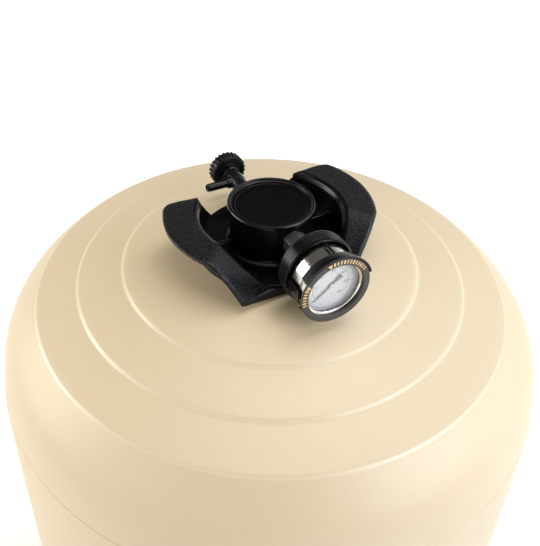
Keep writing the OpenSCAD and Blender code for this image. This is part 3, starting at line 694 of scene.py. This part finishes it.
marker = Part()
marker.lathe(rounded([(29.7, 131.1), (36.0, 131.1), (36.7, 131.8), (36.7, 133.2), (36.0, 134), (30.2, 134), (29.7, 133.4)], rad=0.3), GX, 200)
# The raised sector, skirts and fingers (material 2) take the closure's near-black gloss, darker than the ring's grey
# face: painted shade on the same plastic.
sec_hi = rounded([(33.6, 122.6), (37.2, 122.6), (39.4, 133.7), (38.6, 133.9), (36.6, 133.5), (35.8, 132), (33.6, 131.6)],
                 radii=[0.3, 0.4, 0.3, 0.4, 0.4, 0.2, 0.2])
marker.lathe(sec_hi, GX @ dial(0), 120, 17, 149, mat=2)
marker.lathe(rounded([(33.6, 124), (36.5, 124), (36.5, 132.4), (33.6, 132.4)], rad=0.3), GX @ dial(0), 120, 205, 345, mat=2)
for a, w in ((84.5, 3.5), (172, 26), (230, 14), (270, 14), (310, 14)):
    marker.lathe(rounded([(32.4, 104.4), (35.2, 104.4), (35.8, 124.6), (34.3, 124.6), (33.7, 106.6), (33.2, 106.2)], rad=0.25),
                 GX @ dial(0), max(8, round(w)), a, a + w, mat=2)
gz = 134.0
bars = [(98 - i * 5.9, 0.62 if i % 3 else 0.9) for i in range(12)] + [(161 + i * 5.9, 0.62 if i % 2 else 0.9) for i in range(6)]
for th, w in bars:
    marker.block(31.9, 35.9, -w, w, gz - 0.05, gz + 0.02, GX @ dial(th), r=0, mat=1)
for th in (105.5, 155.0):
    marker.prism([(30.7, 0), (35.2, -2.5), (35.2, 2.5)], gz - 0.05, gz + 0.02, GX @ dial(th), r=0, mat=1)
marker.object("marker_ring_piece", "marker", [M_marker, M_gold, M_gloss], "marker_plastic", ["marker_ring"])

# ---------------------------------------------------------------- air relief valve
valve = Part()
valve.lathe(rounded([(0, 41), (8.2, 41), (8.2, 57.2), (11.6, 57.2), (11.6, 62), (9, 64), (9, 80), (9.6, 80.6), (9.6, 90.5), (9, 91.1),
                     (9, 98.5), (9.8, 99), (9.8, 101.4), (8.6, 102.4), (6.0, 102.4), (6.0, 60), (0, 60)], rad=0.4), VX, 96)
NZ = VX @ T(0, 0, 85) @ R(90, "X")
valve.lathe(rounded([(6.0, 4), (6.6, 8), (6.6, 11.4), (5.2, 13), (4.75, 13.6), (4.75, 34.4), (4.5, 36.0), (3.9, 37.0), (2.9, 37.4),
                     (2.8, 12), (2.8, 4)], rad=0.3), NZ, 64)
valve.object("relief_body", "closure", [M_knob], "knob_plastic", ["relief_valve_body"])

knob = Part()
knob.lathe(rounded([(0, 3.2), (6.5, 3.2), (6.5, 0), (10, 0), (10, 2.2), (15.6, 2.2), (16.4, 0), (18.8, 0), (19.4, 0.8), (19.4, 12),
                    (18.2, 13.2), (14.5, 13.2), (13.6, 12.5), (0, 12.5)], rad=0.35), VX @ T(0, 0, 104.4), 144)
for i in range(24):
    knob.block(18.4, 20.75, -1.3, 1.3, 105.1, 116.7, VX @ R(i * 15 + 7.5, "Z"), r=0.4)
knob.object("relief_knob_piece", "relief_screw", [M_knob], "knob_plastic", ["relief_knob"])

# ---------------------------------------------------------------- carried-over CAD nodes
looks = {
    "base_foot": M_foot, "neck_insert": M_fitting, "upper_bulkhead": M_fitting, "upper_bulkhead_gasket": M_rubber,
    "upper_bulkhead_washer": M_rubber, "upper_bulkhead_nut": M_fitting, "lower_bulkhead": M_fitting,
    "lower_bulkhead_gasket": M_rubber, "lower_bulkhead_washer": M_rubber, "lower_bulkhead_nut": M_fitting,
    "inlet_elbow": M_pipe, "inlet_standpipe": M_pipe, "inlet_diffuser": M_pipe, "outlet_pipe": M_pipe, "lateral_hub": M_pipe,
    "laterals": M_pipe, "air_bleed_tube": M_pipe, "air_bleed_strainer": M_pipe, "drain_spigot": M_fitting, "drain_gasket": M_rubber,
    "drain_lock_nut": M_fitting, "drain_screen": M_pipe, "drain_cap_oring": M_rubber, "drain_cap": M_fitting,
    "closure_oring": M_rubber, "gauge_socket": M_brass, "bourdon_tube": M_brass, "gauge_movement": M_brass, "sector_gear": M_brass,
    "lens_gasket": M_rubber, "relief_body_oring": M_rubber, "relief_stem_oring": M_rubber, "relief_stem": M_stem,
}
for name, mat in looks.items():
    ob = nodes[name]
    for s in range(len(ob.material_slots)):
        ob.material_slots[s].material = mat
    if not ob.material_slots:
        ob.data.materials.append(mat)

# ---------------------------------------------------------------- floor, light and camera
scene = bpy.context.scene
bm = bmesh.new()
bmesh.ops.create_grid(bm, x_segments=2, y_segments=2, size=9.0)
fl = bpy.data.meshes.new("floor")
bm.to_mesh(fl); bm.free()
floor = bpy.data.objects.new("floor", fl)
scene.collection.objects.link(floor)
M_floor = material("floor_pale", (0.93, 0.93, 0.93, 1), 0.9, spec=0.1, tint=(0.92, 0.92, 0.92, 1), tint_scale=2.0)
M_floor.node_tree.nodes["Principled BSDF"].inputs["Emission Color"].default_value = (1, 1, 1, 1)
# the floor glows a little more away from the tank, so it stays an even white in the picture
nt = M_floor.node_tree
tc = nt.nodes.new("ShaderNodeTexCoord")
ln = nt.nodes.new("ShaderNodeVectorMath")
ln.operation = "LENGTH"
mr = nt.nodes.new("ShaderNodeMapRange")
for k, v in (("From Min", 0.9), ("From Max", 2.2), ("To Min", 0.2), ("To Max", 0.85)):
    mr.inputs[k].default_value = v
nt.links.new(tc.outputs["Object"], ln.inputs[0])
nt.links.new(ln.outputs["Value"], mr.inputs["Value"])
nt.links.new(mr.outputs["Result"], nt.nodes["Principled BSDF"].inputs["Emission Strength"])
fl.materials.append(M_floor)

world = bpy.data.worlds.new("studio")
scene.world = world
world.use_nodes = True
# a bright band low round the horizon, dim overhead
nt = world.node_tree
tc = nt.nodes.new("ShaderNodeTexCoord")
sep = nt.nodes.new("ShaderNodeSeparateXYZ")
mr = nt.nodes.new("ShaderNodeMapRange")
for k, v in (("From Min", 0.0), ("From Max", math.sin(math.radians(28))), ("To Min", 1.0), ("To Max", 0.10)):
    mr.inputs[k].default_value = v
nt.links.new(tc.outputs["Generated"], sep.inputs[0])
nt.links.new(sep.outputs["Z"], mr.inputs["Value"])
nt.links.new(mr.outputs["Result"], nt.nodes["Background"].inputs["Strength"])
nt.nodes["Background"].inputs["Color"].default_value = (1.0, 1.0, 0.985, 1)


def softbox(name, azimuth, elevation, dist, size, size_y, power, color=(1, 1, 1)):
    """A rectangular area light that faces the tank's top."""
    la = bpy.data.lights.new(name, "AREA")
    la.shape = "RECTANGLE"
    la.size, la.size_y = size, size_y
    la.energy, la.color = power, color
    ob = bpy.data.objects.new(name, la)
    scene.collection.objects.link(ob)
    a, e = math.radians(azimuth), math.radians(elevation)
    aim = Vector((0, 0, 0.85))
    ob.location = aim + Vector((math.cos(e) * math.cos(a), math.cos(e) * math.sin(a), math.sin(e))) * dist
    ob.rotation_euler = (aim - ob.location).to_track_quat("-Z", "Y").to_euler()
    return ob


softbox("key_high", 30, 68, 2.2, 1.2, 1.2, 15.4, (0.96, 1, 1.01))
softbox("key_mid", 30, 45, 2.2, 1.2, 1.2, 6.2, (0.92, 1, 1.08))
softbox("right", 0, 18, 2.4, 1.6, 1.3, 13.6, (0.90, 1, 1.12))
softbox("right_front", -31, 27, 2.4, 1.4, 1.7, 41.0, (0.93, 1, 1.14))
softbox("right_rear", 40, 18, 2.4, 1.4, 1.3, 4.2)
softbox("left", 180, 18, 2.4, 1.6, 1.3, 45.1, (1, 1, 0.95))
softbox("left_front", -140, 18, 2.4, 1.4, 1.3, 5.0, (1.05, 1, 0.92))
softbox("top", 0, 89.9, 2.0, 1.2, 1.2, 11.8, (1.08, 1, 0.92))

cam_data = bpy.data.cameras.new("camera")
cam = bpy.data.objects.new("camera", cam_data)
scene.collection.objects.link(cam)
cam.location = (0.0, -0.65648, 1.39316)
cam.rotation_euler = (math.radians(90 - 36.453), 0, math.radians(3.922))
cam_data.lens, cam_data.sensor_width = 50.70, 36.0
cam_data.shift_x, cam_data.shift_y = 0.0766, -0.1024
cam_data.clip_start, cam_data.clip_end = 0.05, 60.0
scene.camera = cam
scene.view_settings.view_transform = "Standard"
scene.view_settings.look = "None"

bpy.context.view_layer.update()
